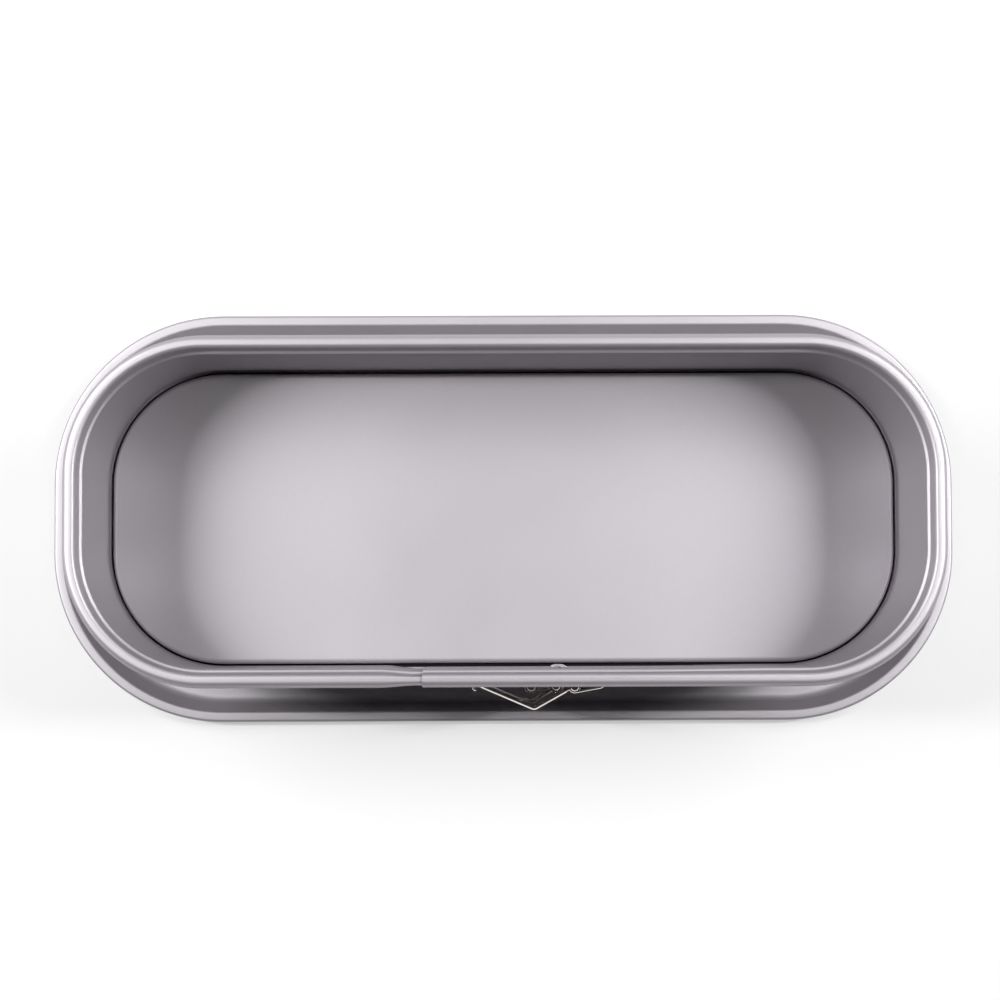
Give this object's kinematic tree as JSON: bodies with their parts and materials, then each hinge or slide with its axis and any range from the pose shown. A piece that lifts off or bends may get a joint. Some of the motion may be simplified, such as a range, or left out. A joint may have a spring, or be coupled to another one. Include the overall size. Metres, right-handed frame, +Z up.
{
  "type": "springform loaf pan",
  "caption": "Long springform loaf pan with rounded ends: a base plate with a drip trough, an overlapping side ring and an over-centre clasp.",
  "frame": {"origin": "centre of the underside, on the table", "axes": "+X along the pan, +Z up, the clasp is on the -Y side"},
  "size_m": [0.3432, 0.1552, 0.0745],
  "materials": {
    "coating": "satin silver-grey non-stick coating on steel sheet, fine grain",
    "plating": "bright nickel plating on stamped steel",
    "pins": "bright nickel plating on drawn steel",
    "rivets": "bright steel"
  },
  "bodies": {
    "base": {"base_plate": "coating"},
    "ring": {"side_ring": "coating", "hinge_bracket": "plating", "anchor_bracket": "plating", "hinge_pin": "pins", "anchor_pin": "pins", "anchor_rivet_upper": "rivets", "anchor_rivet_lower": "rivets"},
    "lever": {"clasp_lever": "plating", "link_pin": "pins"},
    "link": {"clasp_link": "plating"}
  },
  "joints": [
    {"name": "ring_lift", "type": "slide", "parent": "base", "child": "ring", "axis": [0, 0, 1], "range_m": [0, 0.09]},
    {"name": "lever_swing", "type": "hinge", "parent": "ring", "child": "lever", "pos_m": [0.025, -0.06313, 0.042], "axis": [0, 0, 1], "range_deg": [0, 100]},
    {"name": "link_turn", "type": "hinge", "parent": "lever", "child": "link", "pos_m": [0.0182, -0.06283, 0.042], "axis": [0, 0, 1], "range_deg": [-100, 0]}
  ],
  "couplings": [
    {"joint": "link_turn", "follows": "lever_swing", "ratio": -1}
  ]
}
